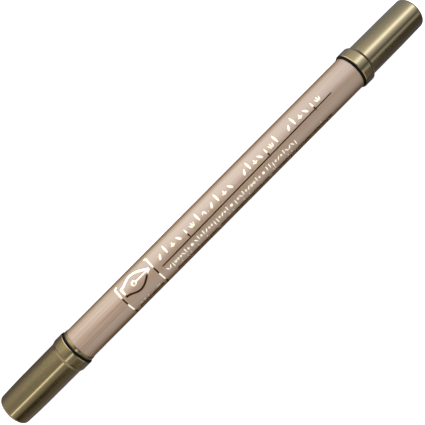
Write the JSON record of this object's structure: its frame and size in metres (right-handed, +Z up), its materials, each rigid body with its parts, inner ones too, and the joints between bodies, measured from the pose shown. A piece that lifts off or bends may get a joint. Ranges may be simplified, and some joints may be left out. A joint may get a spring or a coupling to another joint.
{
  "type": "twin-tip calligraphy marker",
  "caption": "Slim round marker with a broad chisel nib at one end and a fine chisel nib at the other, each under a pull-off metallic cap with a stepped collar.",
  "frame": {"origin": "on the surface the marker lies on, under the middle of its length", "axes": "+X along the marker from the broad tip towards the fine tip, +Z up, +Y to the left when looking along +X; the marker lies on the two cap collars"},
  "size_m": [0.15, 0.011, 0.011],
  "materials": {
    "pearl_barrel": "pearlescent champagne paint on a moulded polypropylene tube, satin gloss",
    "bronze_lacquer": "olive bronze metallic lacquer on moulded plastic, glossy with fine lengthwise brushing",
    "black_moulding": "black moulded polypropylene, satin",
    "black_ring": "black elastomer, satin",
    "liner_plastic": "natural translucent polyethylene",
    "nib_felt": "pressed polyester fibre soaked with metallic ink",
    "ink_fibre": "bundled polyester fibre soaked with ink",
    "reservoir_film": "thin clear polyester film"
  },
  "bodies": {
    "barrel": {"barrel_tube": "pearl_barrel", "barrel_trim_ring": "bronze_lacquer", "reservoir_core": "ink_fibre", "reservoir_sheath": "reservoir_film", "broad_tip_holder": "black_moulding", "broad_nib": "nib_felt", "broad_seal_ring": "black_ring", "fine_tip_holder": "black_moulding", "fine_nib": "nib_felt", "fine_seal_ring": "black_ring"},
    "broad_cap": {"broad_cap_shell": "bronze_lacquer", "broad_cap_collar": "bronze_lacquer", "broad_cap_liner": "liner_plastic"},
    "fine_cap": {"fine_cap_shell": "bronze_lacquer", "fine_cap_collar": "bronze_lacquer", "fine_cap_liner": "liner_plastic"}
  },
  "joints": [
    {"name": "broad_cap_slide", "type": "slide", "parent": "barrel", "child": "broad_cap", "axis": [-1, 0, 0], "range_m": [0, 0.024]},
    {"name": "fine_cap_slide", "type": "slide", "parent": "barrel", "child": "fine_cap", "axis": [1, 0, 0], "range_m": [0, 0.024]}
  ]
}
